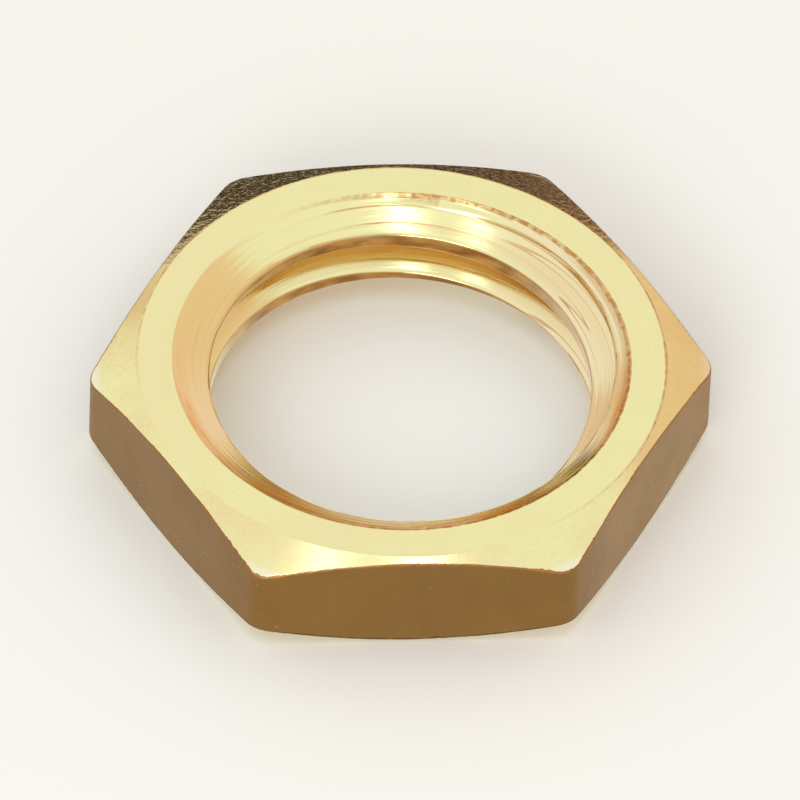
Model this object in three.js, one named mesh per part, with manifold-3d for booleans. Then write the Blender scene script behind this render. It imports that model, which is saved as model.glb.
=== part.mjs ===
// Thin brass hex nut with an M12 x 1.5 right-hand thread, 15 mm across the flats.
// Millimetres, +Z up. The origin is the centre of the bottom face, Z is the thread's axis,
// and two of the six flats face -Y and +Y.

import * as THREE from "three";
import { mergeVertices, toCreasedNormals } from "three/addons/utils/BufferGeometryUtils.js";
import Module from "manifold-3d";

// Driving dimensions
const ACROSS_FLATS = 15;
const HEIGHT = 3.25;
const THREAD_MAJOR = 12;
const THREAD_MINOR = 10.5;           // the tapping drill
const THREAD_PITCH = 1.5;
const THREAD_START_DEG = 45;         // where the groove crosses the level of the bottom face
const CORNER_RADIUS = 0.7;           // rounding of the six upright corners
const FACE_DIAMETER = 14.55;         // flat ring's outer edge, where the corner chamfer starts
const CHAMFER_DEG = 24;              // slope of the corner chamfer below the face
const MOUTH_DIAMETER = 12.63;        // outer edge of the countersink in each face
const TOP_SINK_DEG = 120;            // included angle of the top countersink
const BOTTOM_SINK_DEG = 100;         // included angle of the bottom countersink

// ISO metric thread form
const FLANK_DEG = 30;                // each flank's slope from square to the axis
const ROOT_FLAT = THREAD_PITCH / 8;

// Fineness of the curved surfaces
const SIDES_PER_TURN = 96;
const CORNER_STEPS = 6;

// How far a cutting solid runs past the surface that it cuts
const OVERCUT = 1;
const GROOVE_OVERCUT = 0.1 * THREAD_PITCH;
const SPARE_TURNS = 1;               // turns of groove beyond each face

// Vertices closer than this are one vertex, and edges sharper than this shade as edges
const MERGE_DISTANCE = 1e-5;
const CREASE_DEG = 20;

const CORNERS = 6;
const FULL_TURN = 2 * Math.PI;
const SECTOR = FULL_TURN / CORNERS;
const apothem = ACROSS_FLATS / 2;
const majorRadius = THREAD_MAJOR / 2;
const minorRadius = THREAD_MINOR / 2;
const faceRadius = FACE_DIAMETER / 2;
const mouthRadius = MOUTH_DIAMETER / 2;

const wasm = await Module();
wasm.setup();

// Turns a closed three.js geometry into a solid that can be joined and cut.
function solidFrom(geometry) {
  const bare = geometry.index ? geometry.toNonIndexed() : geometry.clone();
  bare.deleteAttribute("normal");
  bare.deleteAttribute("uv");
  const merged = mergeVertices(bare, MERGE_DISTANCE);
  const vertProperties = new Float32Array(merged.attributes.position.array);
  const triVerts = new Uint32Array(merged.index.array);
  return new wasm.Manifold(new wasm.Mesh({ numProp: 3, vertProperties, triVerts }));
}

// Turns a solid back into a three.js geometry.
function geometryFrom(solid) {
  const mesh = solid.getMesh();
  const geometry = new THREE.BufferGeometry();
  geometry.setAttribute("position", new THREE.BufferAttribute(mesh.vertProperties, 3));
  geometry.setIndex(new THREE.BufferAttribute(mesh.triVerts, 1));
  return toCreasedNormals(geometry, THREE.MathUtils.degToRad(CREASE_DEG));
}

// A profile of [radius, height] points revolved about Z.
function revolved(profile) {
  const points = profile.map(([radius, height]) => new THREE.Vector2(radius, height));
  const geometry = new THREE.LatheGeometry(points, SIDES_PER_TURN);
  geometry.rotateX(Math.PI / 2);
  return solidFrom(geometry);
}

// The bar that the nut is cut from: a hexagon with rounded corners, flats facing -Y and +Y.
function hexBar() {
  const outline = new THREE.Shape();
  const halfSector = SECTOR / 2;
  const arcCentre = (apothem - CORNER_RADIUS) / Math.cos(halfSector);
  for (let corner = 0; corner < CORNERS; corner++) {
    const direction = corner * SECTOR;
    const x = arcCentre * Math.cos(direction);
    const y = arcCentre * Math.sin(direction);
    outline.absarc(x, y, CORNER_RADIUS, direction - halfSector, direction + halfSector, false);
  }
  outline.closePath();
  return solidFrom(new THREE.ExtrudeGeometry(outline, {
    depth: HEIGHT,
    bevelEnabled: false,
    curveSegments: CORNER_STEPS,
  }));
}

// The lathe's outer cut: a disc whose cones take the corners off both faces.
function chamferEnvelope() {
  const reach = apothem / Math.cos(SECTOR / 2) + OVERCUT;
  const drop = (reach - faceRadius) * Math.tan(THREE.MathUtils.degToRad(CHAMFER_DEG));
  return revolved([
    [0, 0],
    [faceRadius, 0],
    [reach, drop],
    [reach, HEIGHT - drop],
    [faceRadius, HEIGHT],
    [0, HEIGHT],
  ]);
}

// The drilled hole at the thread's minor diameter, with a countersink at each end.
function countersunkBore() {
  const topSlope = Math.tan(THREE.MathUtils.degToRad(TOP_SINK_DEG / 2));
  const bottomSlope = Math.tan(THREE.MathUtils.degToRad(BOTTOM_SINK_DEG / 2));
  const topDepth = (mouthRadius - minorRadius) / topSlope;
  const bottomDepth = (mouthRadius - minorRadius) / bottomSlope;
  return revolved([
    [0, -OVERCUT],
    [mouthRadius + OVERCUT * bottomSlope, -OVERCUT],
    [minorRadius, bottomDepth],
    [minorRadius, HEIGHT - topDepth],
    [mouthRadius + OVERCUT * topSlope, HEIGHT + OVERCUT],
    [0, HEIGHT + OVERCUT],
  ]);
}

// A right-hand helix about Z, carried on the axis itself. Its frames turn with the thread, so a
// section swept along it keeps its own X pointing outwards and its own Y pointing down.
class AxialHelix extends THREE.Curve {
  constructor(pitch, turns, start) {
    super();
    this.pitch = pitch;
    this.turns = turns;
    this.start = start;
  }

  angle(t) {
    return this.start + t * this.turns * FULL_TURN;
  }

  getPoint(t, target = new THREE.Vector3()) {
    return target.set(0, 0, t * this.turns * this.pitch);
  }

  computeFrenetFrames(segments) {
    const frames = { tangents: [], normals: [], binormals: [] };
    for (let step = 0; step <= segments; step++) {
      const angle = this.angle(step / segments);
      frames.tangents.push(new THREE.Vector3(-Math.sin(angle), Math.cos(angle), 0));
      frames.normals.push(new THREE.Vector3(Math.cos(angle), Math.sin(angle), 0));
      frames.binormals.push(new THREE.Vector3(0, 0, -1));
    }
    return frames;
  }
}

// The thread's groove as the tap cuts it: a flat-topped V swept along the helix.
function threadGroove() {
  const turns = Math.ceil(HEIGHT / THREAD_PITCH) + 2 * SPARE_TURNS;
  const innerRadius = minorRadius - GROOVE_OVERCUT;
  const rootHalf = ROOT_FLAT / 2;
  const flankRise = Math.tan(THREE.MathUtils.degToRad(FLANK_DEG));
  const innerHalf = rootHalf + (majorRadius - innerRadius) * flankRise;
  const section = new THREE.Shape([
    new THREE.Vector2(innerRadius, -innerHalf),
    new THREE.Vector2(majorRadius, -rootHalf),
    new THREE.Vector2(majorRadius, rootHalf),
    new THREE.Vector2(innerRadius, innerHalf),
  ]);
  const start = THREE.MathUtils.degToRad(THREAD_START_DEG);
  const geometry = new THREE.ExtrudeGeometry(section, {
    steps: turns * SIDES_PER_TURN,
    bevelEnabled: false,
    extrudePath: new AxialHelix(THREAD_PITCH, turns, start),
  });
  geometry.translate(0, 0, -SPARE_TURNS * THREAD_PITCH);
  return solidFrom(geometry);
}

function hexNut() {
  const blank = hexBar().intersect(chamferEnvelope());
  const threaded = blank.subtract(countersunkBore()).subtract(threadGroove());
  const brass = new THREE.MeshStandardMaterial({ color: 0xd8bf74, roughness: 0.32, metalness: 1 });
  const mesh = new THREE.Mesh(geometryFrom(threaded), brass);
  mesh.name = "hex_nut";
  return mesh;
}

const nut = new THREE.Group();
nut.add(hexNut());

export default nut;
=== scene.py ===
"""A thin brass hex nut, M12 x 1.5, on a pale floor under soft studio light. Lengths are in metres."""

import math

import bmesh
import bpy
from mathutils import Matrix, Vector, noise


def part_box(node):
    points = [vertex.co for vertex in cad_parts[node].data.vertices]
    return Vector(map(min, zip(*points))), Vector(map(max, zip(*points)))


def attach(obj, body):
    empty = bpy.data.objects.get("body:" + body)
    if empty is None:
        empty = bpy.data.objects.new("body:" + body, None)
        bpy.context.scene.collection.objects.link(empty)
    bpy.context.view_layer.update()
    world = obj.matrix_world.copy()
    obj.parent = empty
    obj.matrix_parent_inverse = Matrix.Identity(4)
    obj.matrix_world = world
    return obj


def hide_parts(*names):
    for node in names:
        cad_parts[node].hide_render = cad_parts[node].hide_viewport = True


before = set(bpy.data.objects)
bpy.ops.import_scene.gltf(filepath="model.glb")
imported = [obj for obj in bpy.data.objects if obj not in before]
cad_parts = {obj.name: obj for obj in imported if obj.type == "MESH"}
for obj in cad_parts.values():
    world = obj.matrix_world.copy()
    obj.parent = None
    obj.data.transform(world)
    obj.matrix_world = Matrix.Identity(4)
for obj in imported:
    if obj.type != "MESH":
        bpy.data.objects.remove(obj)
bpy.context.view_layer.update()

MM = 0.001

# The nut, from the frame
low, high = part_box("hex_nut")
HEIGHT = high[2] - low[2]
APOTHEM = high[1]
CORNER_REACH = high[0]
CENTRE = Vector((0, 0, HEIGHT / 2))

# The nut's other sizes
HALF_SECTOR = math.pi / 6
CORNER_CENTRE = (CORNER_REACH - APOTHEM) / (1 - math.cos(HALF_SECTOR))
CORNER_RADIUS = CORNER_REACH - CORNER_CENTRE
FACE_RADIUS = 14.55 * MM / 2
MOUTH_RADIUS = 12.63 * MM / 2
MAJOR_RADIUS = 12 * MM / 2
MINOR_RADIUS = 10.5 * MM / 2
PITCH = 1.5 * MM
THREAD_START = math.radians(45)
FLANK = math.radians(30)
CHAMFER = math.radians(24)
TOP_SINK = math.radians(60)
BOTTOM_SINK = math.radians(50)

# How the sharp edges are broken
MOUTH_BREAK = 0.03 * MM
FACE_BREAK = 0.10 * MM
CORNER_BREAK = 0.045 * MM
CREST_BREAK = 0.07 * MM
ROOT_BREAK = 0.05 * MM
LIP_BREAK = 0.12 * MM
MOUTH_BAND = 0.05 * MM

# How far the broken edges wander: (wanders per radian, distance)
CORNER_WAVE = (9, 0.02 * MM)
CORNER_BURR = (70, 0.08 * MM)
MOUTH_TEAR = (60, 0.035 * MM)
RIM_WAVE = (12, 0.04 * MM)
TRACK_GAP = 7.3

# Burrs come and go along the edges: their mean share, and how it wanders
BURR_SHARE = 0.6
BURR_SHARE_WAVE = (3, 1.6)

# Fineness of the mesh
COLUMNS = 720
EDGE_STEPS = 3
TURNS_BELOW = 2
TURNS_ABOVE = 4
FLANK_STEPS = 10
CREST_SHARES = (0.33, 0.67)
FACE_SHARES = (0.02, 0.98)
SLOPE_SHARES = (0.04, 0.5, 0.96)

# The share of a flank, from the root, that gets painted groove shade
GROOVE_SHADE_REACH = 0.95

# A crossing of thread and countersink counts only where the gap between their radii changes at
# least this fast with height
STEEP_ENOUGH = 0.5

# The mesh's material slots
TURNED, CHAMFERED, DRAWN, THREADED = range(4)


# Shape

def wander(angle, wave, track):
    """A smooth random distance, the same at each end of the turn. Each track has its own pattern."""
    fineness, amount = wave
    place = Vector((math.cos(angle) * fineness, math.sin(angle) * fineness, track * TRACK_GAP))
    return noise.noise(place) * amount


def hex_radius(angle):
    """The rounded hexagon's radius in one direction."""
    off_corner = abs((angle + HALF_SECTOR) % (2 * HALF_SECTOR) - HALF_SECTOR)
    tangent_x = CORNER_CENTRE + CORNER_RADIUS * math.cos(HALF_SECTOR)
    tangent_y = CORNER_RADIUS * math.sin(HALF_SECTOR)
    if off_corner > math.atan2(tangent_y, tangent_x):
        return APOTHEM / math.cos(HALF_SECTOR - off_corner)
    across = CORNER_CENTRE * math.sin(off_corner)
    return CORNER_CENTRE * math.cos(off_corner) + math.sqrt(CORNER_RADIUS ** 2 - across ** 2)


def broken(before, corner, after, radius):
    """An arc in place of a sharp corner, as points."""
    into = (Vector(before) - Vector(corner)).normalized()
    out = (Vector(after) - Vector(corner)).normalized()
    half = into.angle(out) / 2
    centre = Vector(corner) + (into + out).normalized() * radius / math.sin(half)
    start = Vector(corner) + into * radius / math.tan(half) - centre
    end = Vector(corner) + out * radius / math.tan(half) - centre
    steps = [step / EDGE_STEPS for step in range(EDGE_STEPS + 1)]
    return [tuple(centre + start.normalized().slerp(end.normalized(), share) * radius) for share in steps]


def span(start, end, shares):
    """Points between two others, at the given shares of the way."""
    return [tuple(Vector(start).lerp(Vector(end), share)) for share in shares]


def outside_half(angle, track, sink, mouth_wear, rim_wear, edge_wear):
    """The section from inside the countersink over the face and chamfer to half way down a flat.

    Returns rows of (radius, level from the face, slot of the stretch after it, edge wear).
    Levels are negative, because they are on the nut's side of the face.
    """
    reach = hex_radius(angle)
    tear = abs(wander(angle, MOUTH_TEAR, track)) * mouth_wear
    face_break = FACE_BREAK + wander(angle, RIM_WAVE, track + 1)
    burr_share = max(BURR_SHARE + wander(angle, BURR_SHARE_WAVE, track + 3), 0)
    burr = abs(wander(angle, CORNER_BURR, track + 4)) * burr_share
    drift = wander(angle, CORNER_WAVE, track + 2)
    corner_break = CORNER_BREAK + max(drift + burr, -CORNER_BREAK / 2)
    inside = (MOUTH_RADIUS - MOUTH_BAND * math.tan(sink), -MOUTH_BAND)
    mouth = (MOUTH_RADIUS - tear, 0)
    rim = (FACE_RADIUS, 0)
    edge = (reach, -(reach - FACE_RADIUS) * math.tan(CHAMFER))
    middle = (reach, -HEIGHT / 2)
    at_mouth = broken(inside, mouth, rim, MOUTH_BREAK)
    at_rim = broken(mouth, rim, edge, face_break)
    at_edge = broken(rim, edge, middle, corner_break)
    stretches = [
        ([inside], THREADED, mouth_wear),
        (at_mouth, TURNED, mouth_wear),
        (span(at_mouth[-1], at_rim[0], FACE_SHARES), TURNED, 0),
        (at_rim, CHAMFERED, rim_wear),
        (span(at_rim[-1], at_edge[0], SLOPE_SHARES), CHAMFERED, 0),
        (at_edge, DRAWN, edge_wear),
        (span(at_edge[-1], middle, SLOPE_SHARES), DRAWN, 0),
    ]
    return [(*point, slot, wear) for points, slot, wear in stretches for point in points]


def thread_section():
    """One pitch of the thread, as (height from the groove's middle, radius, painted groove shade) points."""
    root_half = PITCH / 16
    crest_half = root_half + (MAJOR_RADIUS - MINOR_RADIUS) * math.tan(FLANK)
    crest_edge = (crest_half, MINOR_RADIUS)
    root_edge = (root_half, MAJOR_RADIUS)
    crest_middle = (PITCH / 2, MINOR_RADIUS)
    root = broken((0, MAJOR_RADIUS), root_edge, crest_edge, ROOT_BREAK)
    crest = broken(root_edge, crest_edge, crest_middle, CREST_BREAK)
    shares = [step / FLANK_STEPS for step in range(1, FLANK_STEPS)]
    upper = [(*point, 1) for point in root]
    flank = span(root[-1], crest[0], shares)
    upper += [(*point, max(1 - share / GROOVE_SHADE_REACH, 0)) for share, point in zip(shares, flank)]
    upper += [(*point, step / EDGE_STEPS) for step, point in enumerate(crest)]
    upper += [(*point, 1) for point in span(crest[-1], crest_middle, CREST_SHARES)]
    lower = [(-height, radius, groove_shade) for height, radius, groove_shade in reversed(upper)]
    return lower + upper + [(*crest_middle, 1)]


def cone_radius(height):
    """The countersinks' radius at one height."""
    top = MOUTH_RADIUS - (HEIGHT - height) * math.tan(TOP_SINK)
    bottom = MOUTH_RADIUS - height * math.tan(BOTTOM_SINK)
    return max(top, bottom)


def snap_to_cone(rows):
    """Moves the row nearest each crossing of thread and countersink onto the crossing.

    Returns rows of (height, radius, painted groove shade, whether it is a crossing).
    """
    gaps = [radius - cone_radius(height) for height, radius, groove_shade in rows]
    snapped = [[*row, False] for row in rows]
    for index in range(len(rows) - 1):
        here, there = gaps[index], gaps[index + 1]
        steepness = abs(here - there) / (rows[index + 1][0] - rows[index][0])
        if here * there >= 0 or steepness < STEEP_ENOUGH:
            continue
        share = here / (here - there)
        nearest = index if share < 0.5 else index + 1
        for axis in range(2):
            snapped[nearest][axis] = rows[index][axis] + (rows[index + 1][axis] - rows[index][axis]) * share
        snapped[nearest][3] = True
    return snapped


def merged_radius(thread, cone):
    """The larger of two radii, rounded where they cross."""
    overlap = max(LIP_BREAK - abs(thread - cone), 0)
    return max(thread, cone) + overlap ** 2 / (4 * LIP_BREAK)


def bore_rows(angle, section):
    """The bore's section in one direction, upwards, from below the nut to above it."""
    base = PITCH * (angle - THREAD_START) / (2 * math.pi)
    rows = []
    for turn in range(-TURNS_BELOW, TURNS_ABOVE):
        for height, radius, groove_shade in section:
            rows.append((base + turn * PITCH + height, radius, groove_shade))
    finished = []
    for height, radius, groove_shade, crossing in snap_to_cone(rows):
        cone = cone_radius(height)
        buried = min(max((cone - radius) / LIP_BREAK, 0), 1)
        finished.append((height, merged_radius(radius, cone), groove_shade * (1 - buried), crossing))
    return finished


class Skin:
    """Collects vertices in columns and joins neighbouring columns with faces."""

    def __init__(self):
        self.mesh = bmesh.new()
        self.wear = self.mesh.verts.layers.float.new("wear")
        self.groove_shade = self.mesh.verts.layers.float.new("groove_shade")
        self.crossings = set()

    def vertex(self, ray, radius, height, wear=0.0, groove_shade=0.0, crossing=False):
        vert = self.mesh.verts.new(ray * radius + Vector((0, 0, height)))
        vert[self.wear] = wear
        vert[self.groove_shade] = groove_shade
        if crossing:
            self.crossings.add(vert)
        return vert

    def face(self, corners, slot, flip):
        corners = list(dict.fromkeys(corners))
        if len(corners) < 3:
            return
        face = self.mesh.faces.new(reversed(corners) if flip else corners)
        face.material_index = slot
        face.smooth = True

    def join(self, left, right, slots, flip):
        """Faces between two columns. A cell that an edge crosses corner to corner is split along it."""
        for index, slot in enumerate(slots):
            near, far = left[index], right[index]
            far_next, near_next = right[index + 1], left[index + 1]
            if near in self.crossings and far_next in self.crossings:
                self.face([near, far, far_next], slot, flip)
                self.face([near, far_next, near_next], slot, flip)
            elif far in self.crossings and near_next in self.crossings:
                self.face([near, far, near_next], slot, flip)
                self.face([far, far_next, near_next], slot, flip)
            else:
                self.face([near, far, far_next, near_next], slot, flip)


# The two faces' patterns of wander
TOP_TRACK, BOTTOM_TRACK = 0, 20

# Where the top face's edges were cut cleanly, and how worn the bottom mouth is
CLEAN_MOUTH = math.radians(175)
CLEAN_RIM = math.radians(245)
CLEAN_SIDE = 0.6
WEAR_RISE = 1.6
BOTTOM_WEAR = 0.4


def wear_away_from(angle, clean):
    """How worn an edge is, from 0 on the side where the tool cut cleanly to 1 on most of the rest."""
    return min(max((CLEAN_SIDE - math.cos(angle - clean)) * WEAR_RISE, 0), 1)


def nut_mesh():
    """The whole nut as one closed grid of columns round the axis."""
    skin = Skin()
    section = thread_section()
    above = []
    below = []
    bore = []
    for column in range(COLUMNS):
        angle = 2 * math.pi * column / COLUMNS
        ray = Vector((math.cos(angle), math.sin(angle), 0))
        mouth_wear = wear_away_from(angle, CLEAN_MOUTH)
        rim_wear = wear_away_from(angle, CLEAN_RIM)
        top_rows = outside_half(angle, TOP_TRACK, TOP_SINK, mouth_wear, rim_wear, 1)
        bottom_rows = outside_half(angle, BOTTOM_TRACK, BOTTOM_SINK, BOTTOM_WEAR, 0, 1)
        top = [skin.vertex(ray, radius, HEIGHT + level, wear) for radius, level, slot, wear in top_rows]
        bottom = [skin.vertex(ray, radius, -level, wear) for radius, level, slot, wear in bottom_rows[:-1]]
        slots = [slot for radius, level, slot, wear in top_rows[:-1]]
        top_mouth = HEIGHT + top_rows[0][1]
        bottom_mouth = -bottom_rows[0][1]
        inner = []
        for height, radius, groove_shade, crossing in bore_rows(angle, section):
            if height >= top_mouth:
                inner.append(top[0])
            elif height <= bottom_mouth:
                inner.append(bottom[0])
            else:
                inner.append(skin.vertex(ray, radius, height, 0.0, groove_shade, crossing))
        above.append(top)
        below.append(bottom + [top[-1]])
        bore.append(inner)
    rise = len(section)
    for column in range(COLUMNS):
        after = (column + 1) % COLUMNS
        skin.join(above[column], above[after], slots, True)
        skin.join(below[column], below[after], slots, False)
        left, right = bore[column], bore[after]
        if after == 0:
            left, right = left[:-rise], right[rise:]
        skin.join(left, right, [THREADED] * (len(left) - 1), True)
    return skin.mesh


def make_nut(materials):
    """The nut's one object, with a material for each kind of surface."""
    mesh = nut_mesh()
    data = bpy.data.meshes.new("nut")
    mesh.normal_update()
    mesh.to_mesh(data)
    mesh.free()
    for material in materials:
        data.materials.append(material)
    nut = bpy.data.objects.new("nut", data)
    bpy.context.scene.collection.objects.link(nut)
    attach(nut, "root")
    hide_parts("hex_nut")
    return nut


# Node patterns

class Pattern:
    """Short calls that add nodes to a tree. A socket takes another node's output or a constant."""

    def __init__(self, tree):
        self.tree = tree

    def node(self, kind, inputs=None, **settings):
        node = self.tree.nodes.new(kind)
        for name, value in settings.items():
            setattr(node, name, value)
        for key, value in (inputs or {}).items():
            socket = node.inputs[key]
            if isinstance(value, bpy.types.NodeSocket):
                self.tree.links.new(value, socket)
            else:
                socket.default_value = value
        return node

    def math(self, operation, *values):
        node = self.node("ShaderNodeMath", dict(enumerate(values)), operation=operation)
        return node.outputs[0]

    def step(self, value, start, end):
        """0 below start and 1 above end, with a smooth rise between them."""
        inputs = {"Value": value, "From Min": start, "From Max": end}
        return self.node("ShaderNodeMapRange", inputs, interpolation_type="SMOOTHSTEP").outputs[0]

    def near(self, value, middle, reach, core=None):
        """1 within core of a middle value, by default a third of reach, and 0 beyond reach of it."""
        off = self.math("ABSOLUTE", self.math("SUBTRACT", value, middle))
        return self.step(off, reach, core or reach / 3)

    def product(self, first, *others):
        for other in others:
            first = self.math("MULTIPLY", first, other)
        return first

    def spread(self, value, first, last):
        """A value from 0 to 1, spread over another range."""
        inputs = {"Value": value, "To Min": first, "To Max": last}
        return self.node("ShaderNodeMapRange", inputs).outputs[0]

    def blend(self, share, first, second, blend_type="MIX"):
        inputs = {0: share, 6: self.colour(first), 7: self.colour(second)}
        node = self.node("ShaderNodeMix", inputs, data_type="RGBA", blend_type=blend_type)
        return node.outputs[2]

    def colour(self, value):
        return value if isinstance(value, bpy.types.NodeSocket) else (*value, 1)

    def scaled(self, vector, by):
        inputs = {0: vector, 1: by}
        return self.node("ShaderNodeVectorMath", inputs, operation="MULTIPLY").outputs[0]

    def noise(self, vector, scale, detail=2.0, contrast=1.0):
        """Noise spread over 0 to 1, with more of it at the ends where the contrast is high."""
        inputs = {"Vector": vector, "Scale": scale, "Detail": detail}
        value = self.node("ShaderNodeTexNoise", inputs).outputs[0]
        half = 0.25 / contrast
        return self.step(value, 0.5 - half, 0.5 + half)

    def bump(self, height, distance, normal=None):
        """Raised by a height from 0 to 1, times a distance in metres."""
        inputs = {"Height": height, "Distance": distance}
        if normal:
            inputs["Normal"] = normal
        return self.node("ShaderNodeBump", inputs).outputs[0]

    def attribute(self, name):
        return self.node("ShaderNodeAttribute", attribute_name=name).outputs["Fac"]


# Materials

class Brass(Pattern):
    """A brass material in the making: its shader, and the object's coordinates in millimetres."""

    def __init__(self, name):
        self.material = bpy.data.materials.new(name)
        self.material.use_nodes = True
        super().__init__(self.material.node_tree)
        self.shader = self.tree.nodes["Principled BSDF"]
        self.shader.inputs["Metallic"].default_value = 1
        place = self.node("ShaderNodeTexCoord").outputs["Object"]
        self.place = self.scaled(place, (1 / MM, 1 / MM, 1 / MM))
        flat = self.scaled(self.place, (1, 1, 0))
        self.radius = self.node("ShaderNodeVectorMath", {0: flat}, operation="LENGTH").outputs["Value"]
        self.direction = self.node("ShaderNodeVectorMath", {0: flat}, operation="NORMALIZE").outputs[0]
        axes = self.node("ShaderNodeSeparateXYZ", {0: self.place})
        self.x, self.y, self.z = axes.outputs

    def rings(self, along, across):
        """Coordinates for marks that run round the axis, with so many a radian and a millimetre."""
        rise = self.math("MULTIPLY", self.math("ADD", self.radius, self.z), across)
        upright = self.node("ShaderNodeCombineXYZ", {"Z": rise}).outputs[0]
        turned = self.scaled(self.direction, (along, along, 0))
        return self.node("ShaderNodeVectorMath", {0: turned, 1: upright}, operation="ADD").outputs[0]

    def worn(self, least, most):
        """The worn edges, broken up along their length."""
        ragged = self.noise(self.rings(30, 4), 1, contrast=1.6)
        return self.product(self.attribute("wear"), self.spread(ragged, least, most))

    def finish(self, colour, roughness, normal):
        for name, output in (("Base Color", colour), ("Roughness", roughness), ("Normal", normal)):
            self.tree.links.new(output, self.shader.inputs[name])
        return self.material


# Bright brass
PALE = (0.905, 0.80, 0.435)
GREEN = (0.90, 0.835, 0.44)
PEACH = (0.89, 0.74, 0.40)
ROSE = (0.90, 0.73, 0.52)
PAINTED_CREAM = (1.0, 0.92, 0.70)
CORNER_HIGHLIGHT = (0.95, 0.88, 0.74)

# Burnt edges and orange streaks, and colours for painted shade and a painted tan reflection
AMBER = (0.86, 0.50, 0.14)
HONEY = (0.76, 0.47, 0.16)
TAN = (0.68, 0.46, 0.24)
GROOVE_SHADE_RED = (0.60, 0.32, 0.09)
BURNT = (0.56, 0.27, 0.08)
UMBER = (0.28, 0.12, 0.025)
BACK_SHADE_BROWN = (0.34, 0.19, 0.09)

# The drawn flats, each side painted its own shade for the light on it
LEFT_FLAT = (0.35, 0.22, 0.093)
RIGHT_FLAT = (0.43, 0.28, 0.123)
FRONT_FLAT = (0.335, 0.191, 0.054)
DRAWN_SHADE = (0.25, 0.145, 0.045)
DRAWN_LINE = (0.42, 0.27, 0.12)
DRAWN_GRAIN = (0.20, 0.11, 0.04)
LOWER_EDGE_SHADE = (0.05, 0.03, 0.02)
UPPER_EDGE = (0.47, 0.22, 0.08)


def turned_brass():
    """The ring faces, left by a facing tool."""
    brass = Brass("turned_brass")
    drift = brass.noise(brass.place, 0.16, contrast=1.5)
    cloud = brass.noise(brass.place, 1.1, detail=3)
    marks = brass.noise(brass.rings(1.5, 9), 1)
    colour = brass.blend(drift, PALE, GREEN)
    colour = brass.blend(brass.spread(cloud, 0, 0.3), colour, PEACH)
    colour = brass.blend(brass.spread(marks, 0, 0.12), colour, PEACH)
    colour = brass.blend(brass.worn(0.5, 1), colour, BURNT)
    roughness = brass.spread(marks, 0.24, 0.34)
    normal = brass.bump(marks, 0.0004 * MM)
    return brass.finish(colour, roughness, normal)


def chamfered_brass():
    """The corner chamfers: soft turning marks, a burnt line at the rim, a pitted skin at the back painted
    dark as shade, and a painted highlight on the corner tips.
    """
    brass = Brass("chamfered_brass")
    drift = brass.noise(brass.place, 0.4, detail=3, contrast=1.5)
    marks = brass.noise(brass.rings(2.5, 11), 1)
    pits = brass.noise(brass.place, 9, detail=3, contrast=1.8)
    colour = brass.blend(drift, GREEN, PEACH)
    colour = brass.blend(brass.spread(marks, 0, 0.12), colour, PEACH)
    colour = brass.blend(brass.spread(pits, 0.06, 0), colour, BURNT)
    back_pits_and_shade = brass.step(brass.y, 3.2, 5)
    crust = brass.noise(brass.place, 5.5, detail=3, contrast=1.4)
    # Painted shade: the back chamfers are darkened, standing in for the dark reflection they catch
    back_shade = brass.product(back_pits_and_shade, brass.spread(brass.step(brass.x, -1, 3), 0.3, 0.65))
    colour = brass.blend(back_shade, colour, BACK_SHADE_BROWN)
    # Painted highlight: the chamfers' corner tips are painted near white
    corner = brass.step(brass.radius, 8.2, 8.42)
    colour = brass.blend(brass.spread(corner, 0, 0.6), colour, CORNER_HIGHLIGHT)
    past_rim = brass.math("SUBTRACT", brass.radius, FACE_RADIUS / MM)
    burnt = brass.product(brass.worn(0.3, 0.8), brass.step(past_rim, 0.12, 0.06))
    colour = brass.blend(burnt, colour, BURNT)
    roughness = brass.spread(pits, 0.19, 0.15)
    pitted = brass.bump(brass.product(back_pits_and_shade, crust), 0.009 * MM)
    normal = brass.bump(marks, 0.0004 * MM, brass.bump(pits, 0.0003 * MM, pitted))
    return brass.finish(colour, roughness, normal)


def drawn_brass():
    """The flats: the drawn bar's dull skin, with faint lines along the bar and a few bright nicks, each side
    painted lighter or darker for the light it gets, and painted shade on the lower edges.
    """
    brass = Brass("drawn_brass")
    # Painted light and shade: the left, right and front flats each get their own colour for the light that
    # falls on them
    front = brass.step(brass.y, -5.5, -7.3)
    across = brass.step(brass.x, -6, 7)
    drift = brass.noise(brass.place, 0.5, detail=3, contrast=1.4)
    lines = brass.noise(brass.scaled(brass.place, (7, 7, 0.5)), 1)
    grain = brass.noise(brass.place, 16, detail=3)
    lit_sides = brass.blend(across, LEFT_FLAT, RIGHT_FLAT)
    colour = brass.blend(front, lit_sides, FRONT_FLAT)
    colour = brass.blend(brass.spread(drift, 0, 0.35), colour, DRAWN_SHADE)
    colour = brass.blend(brass.spread(lines, 0, 0.08), colour, DRAWN_LINE)
    colour = brass.blend(brass.spread(grain, 0, 0.14), colour, DRAWN_GRAIN)
    nicks = brass.step(brass.noise(brass.place, 6, detail=1, contrast=0.75), 0.96, 1.0)
    colour = brass.blend(brass.spread(nicks, 0, 0.3), colour, PALE)
    # Painted shade: the lower edges are painted near black, for the shade under the nut; the upper edges get
    # a burnt line
    edge = brass.blend(brass.step(brass.z, 1.0, 1.4), LOWER_EDGE_SHADE, UPPER_EDGE)
    colour = brass.blend(brass.worn(0.2, 0.9), colour, edge)
    roughness = brass.spread(grain, 0.42, 0.54)
    normal = brass.bump(lines, 0.0006 * MM, brass.bump(grain, 0.0006 * MM))
    return brass.finish(colour, roughness, normal)


# Scores round the countersink: (radius, where its middle lies along X, half its length), in mm
SCORES = ((6.0, -0.4, 1.8), (5.58, 0.9, 2.7))
SCORE_REACH = 0.03


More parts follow.
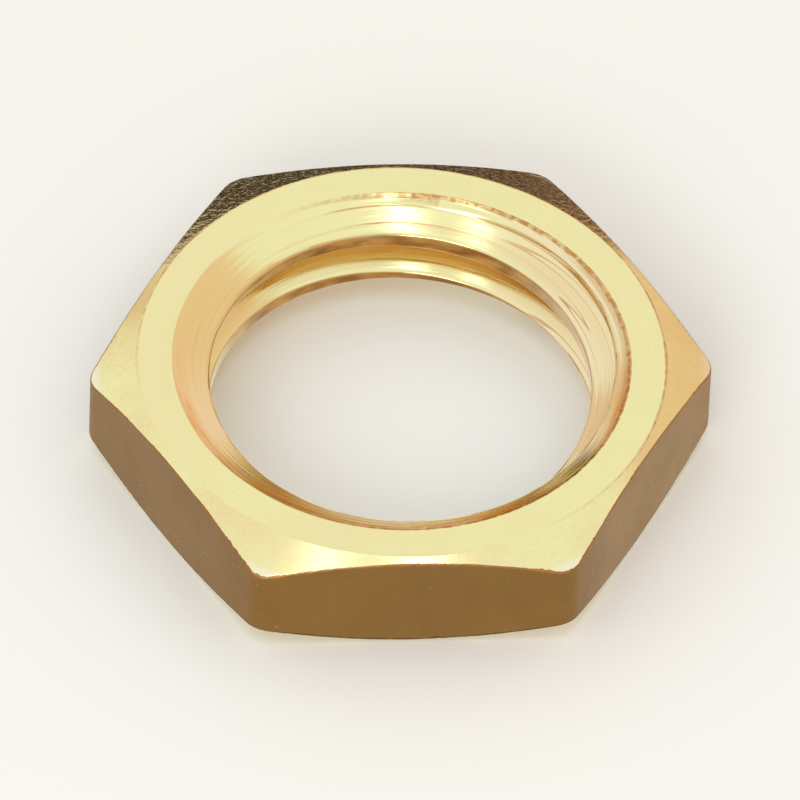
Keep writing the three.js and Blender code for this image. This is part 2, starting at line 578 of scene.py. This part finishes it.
def threaded_brass():
    """The countersinks and thread: bright, with tool rings and scores, painted shade in the grooves at the
    back, and a paler front and a tan band at the right of the mouth that are painted reflections.
    """
    brass = Brass("threaded_brass")
    back = brass.step(brass.y, 1.5, 4.8)
    right = brass.step(brass.x, 1.5, 5)
    drift = brass.noise(brass.place, 0.3, contrast=1.5)
    marks = brass.noise(brass.rings(2, 10), 1)
    colour = brass.blend(drift, PALE, GREEN)
    colour = brass.blend(brass.spread(marks, 0, 0.3), colour, PEACH)
    colour = brass.blend(brass.spread(right, 0, 0.6), colour, ROSE)
    seams = brass.near(brass.noise(brass.rings(0.5, 3), 1, detail=0), 0.5, 0.06)
    seams = brass.product(seams, brass.spread(right, 0.12, 0.75))
    colour = brass.blend(seams, colour, BURNT)
    # Painted reflection: the front of the bore is painted paler cream
    front = brass.step(brass.y, 1.5, -2.5)
    colour = brass.blend(brass.spread(front, 0, 0.8), colour, PAINTED_CREAM)
    streaks = brass.noise(brass.rings(5, 5), 1, contrast=1.5)
    amber = brass.product(front, brass.step(brass.radius, 5.8, 6.15), brass.spread(streaks, 0.3, 0.9))
    colour = brass.blend(amber, colour, AMBER)
    broken_up = brass.noise(brass.rings(5, 0.5), 1, contrast=1.5)
    for radius, middle, length in SCORES:
        ring = brass.near(brass.radius, radius, SCORE_REACH)
        along = brass.near(brass.x, middle, length)
        share = brass.product(ring, along, back, brass.spread(broken_up, 0.4, 0.9))
        colour = brass.blend(share, colour, BURNT)
    # Painted reflection: a tan band on the right of the countersink near the mouth
    ring = brass.near(brass.radius, 6.2, 0.14)
    band = brass.product(ring, brass.step(brass.x, 4.6, 5.4), brass.step(brass.z, 2, 3))
    colour = brass.blend(brass.spread(band, 0, 0.7), colour, TAN)
    # Painted shade: at the back, crests, roots and the root half of the flanks are painted dark, standing in
    # for groove shadow and dark reflection
    root = brass.step(brass.radius, 5.3, 5.6)
    crest = brass.blend(brass.noise(brass.rings(6, 3), 1), UMBER, GROOVE_SHADE_RED)
    dull = brass.blend(root, crest, HONEY)
    below_mouth = brass.step(brass.z, 2.9, 2.5)
    groove_shade_share = brass.product(brass.attribute("groove_shade"), brass.spread(back, 0.4, 1), below_mouth)
    colour = brass.blend(groove_shade_share, colour, dull)
    colour = brass.blend(brass.worn(0.4, 1), colour, BURNT)
    roughness = brass.spread(marks, 0.11, 0.18)
    normal = brass.bump(marks, 0.0015 * MM)
    return brass.finish(colour, roughness, normal)


# Camera

VIEW_AZIMUTH = math.radians(-4.62)
VIEW_ELEVATION = math.radians(47.33)
VIEW_ROLL = math.radians(-2.32)
VIEW_DISTANCE = 70.2 * APOTHEM
SENSOR = 36
LENS = 23.9 * SENSOR


def make_camera():
    """The camera, at the angle from which the nut is to be seen."""
    across = math.cos(VIEW_ELEVATION)
    back = Vector((
        math.sin(VIEW_AZIMUTH) * across,
        -math.cos(VIEW_AZIMUTH) * across,
        math.sin(VIEW_ELEVATION),
    ))
    right = Vector((math.cos(VIEW_AZIMUTH), math.sin(VIEW_AZIMUTH), 0))
    up = back.cross(right)
    axes = Matrix((right, up, back)).transposed().to_4x4()
    data = bpy.data.cameras.new("camera")
    data.sensor_width = SENSOR
    data.lens = LENS
    data.clip_start = VIEW_DISTANCE / 10
    data.clip_end = VIEW_DISTANCE * 4
    camera = bpy.data.objects.new("camera", data)
    camera.matrix_world = (
        Matrix.Translation(CENTRE + back * VIEW_DISTANCE)
        @ axes
        @ Matrix.Rotation(-VIEW_ROLL, 4, "Z")
    )
    bpy.context.scene.collection.objects.link(camera)
    bpy.context.scene.camera = camera


# Studio

FLOOR_RADIUS = 0.5
FLOOR_SIDES = 96
FLOOR_COLOUR = (0.9, 0.9, 0.9)
FLOOR_ROUGHNESS = 0.9


def make_floor():
    """The floor that the nut lies on. The metal reflects the world's lower half in its place."""
    mesh = bmesh.new()
    bmesh.ops.create_circle(mesh, cap_ends=True, segments=FLOOR_SIDES, radius=FLOOR_RADIUS)
    data = bpy.data.meshes.new("floor")
    mesh.to_mesh(data)
    mesh.free()
    floor = bpy.data.objects.new("floor", data)
    bpy.context.scene.collection.objects.link(floor)
    material = bpy.data.materials.new("floor")
    material.use_nodes = True
    shader = material.node_tree.nodes["Principled BSDF"]
    shader.inputs["Base Color"].default_value = (*FLOOR_COLOUR, 1)
    shader.inputs["Roughness"].default_value = FLOOR_ROUGHNESS
    data.materials.append(material)
    floor.visible_glossy = False


LIGHT_DISTANCE = 0.3


def soft_light(name, direction, width, depth, turn, radiance):
    """A rectangular light that faces the nut from a direction, turned about it, of an even brightness."""
    data = bpy.data.lights.new(name, "AREA")
    data.shape = "RECTANGLE"
    data.size = width
    data.size_y = depth
    data.energy = radiance * math.pi * width * depth
    light = bpy.data.objects.new(name, data)
    back = Vector(direction).normalized()
    light.location = CENTRE + back * LIGHT_DISTANCE
    side = Vector((1, 0, 0)) - back * back.x
    side.normalize()
    axes = Matrix((side, back.cross(side), back)).transposed()
    light.rotation_euler = (axes @ Matrix.Rotation(math.radians(turn), 3, "Z")).to_euler()
    bpy.context.scene.collection.objects.link(light)


def make_lights():
    """Two soft bars above the nut and a fill in front of it."""
    soft_light("bar_right", (0.05, -0.19, 0.98), 0.036, 0.08, -20, 2.1)
    soft_light("bar_left", (-0.225, -0.12, 0.96), 0.032, 0.08, -32, 1.3)
    soft_light("fill", (-0.3, -0.85, 0.55), 0.16, 0.10, 0, 4)


DOME = (0.95, 0.98, 0.94)
RIGHT_BAND = (0.87, 0.675, 0.525)
LEFT_BAND = (0.78, 0.60, 0.42)
GROUND = (0.87, 0.81, 0.74)
HORIZON_LEFT = (0.06, 0.042, 0.03)
HORIZON_RIGHT = (0.21, 0.135, 0.09)


def make_world():
    """A bright dome over a pale ground, with a tan band at each side and a dark horizon behind the nut."""
    world = bpy.data.worlds.new("studio")
    world.use_nodes = True
    sky = Pattern(world.node_tree)
    ray = sky.node("ShaderNodeTexCoord").outputs["Generated"]
    x, y, z = sky.node("ShaderNodeSeparateXYZ", {0: ray}).outputs
    right = sky.product(sky.step(x, 0.2, 0.4), sky.step(z, 0.77, 0.71))
    left = sky.product(sky.step(x, -0.25, -0.45), sky.step(z, 0.46, 0.36))
    behind = sky.product(sky.step(y, 0.9, 0.935), sky.near(z, 0.02, 0.3, 0.2), sky.near(x, 0.04, 0.42, 0.31))
    colour = sky.blend(right, DOME, RIGHT_BAND)
    colour = sky.blend(left, colour, LEFT_BAND)
    colour = sky.blend(sky.step(z, 0.03, -0.1), colour, GROUND)
    horizon = sky.blend(sky.step(x, 0.1, 0.22), HORIZON_LEFT, HORIZON_RIGHT)
    colour = sky.blend(behind, colour, horizon)
    world.node_tree.links.new(colour, world.node_tree.nodes["Background"].inputs["Color"])
    bpy.context.scene.world = world
    bpy.context.scene.view_settings.view_transform = "Standard"


make_camera()
make_floor()
make_lights()
make_world()
make_nut([turned_brass(), chamfered_brass(), drawn_brass(), threaded_brass()])
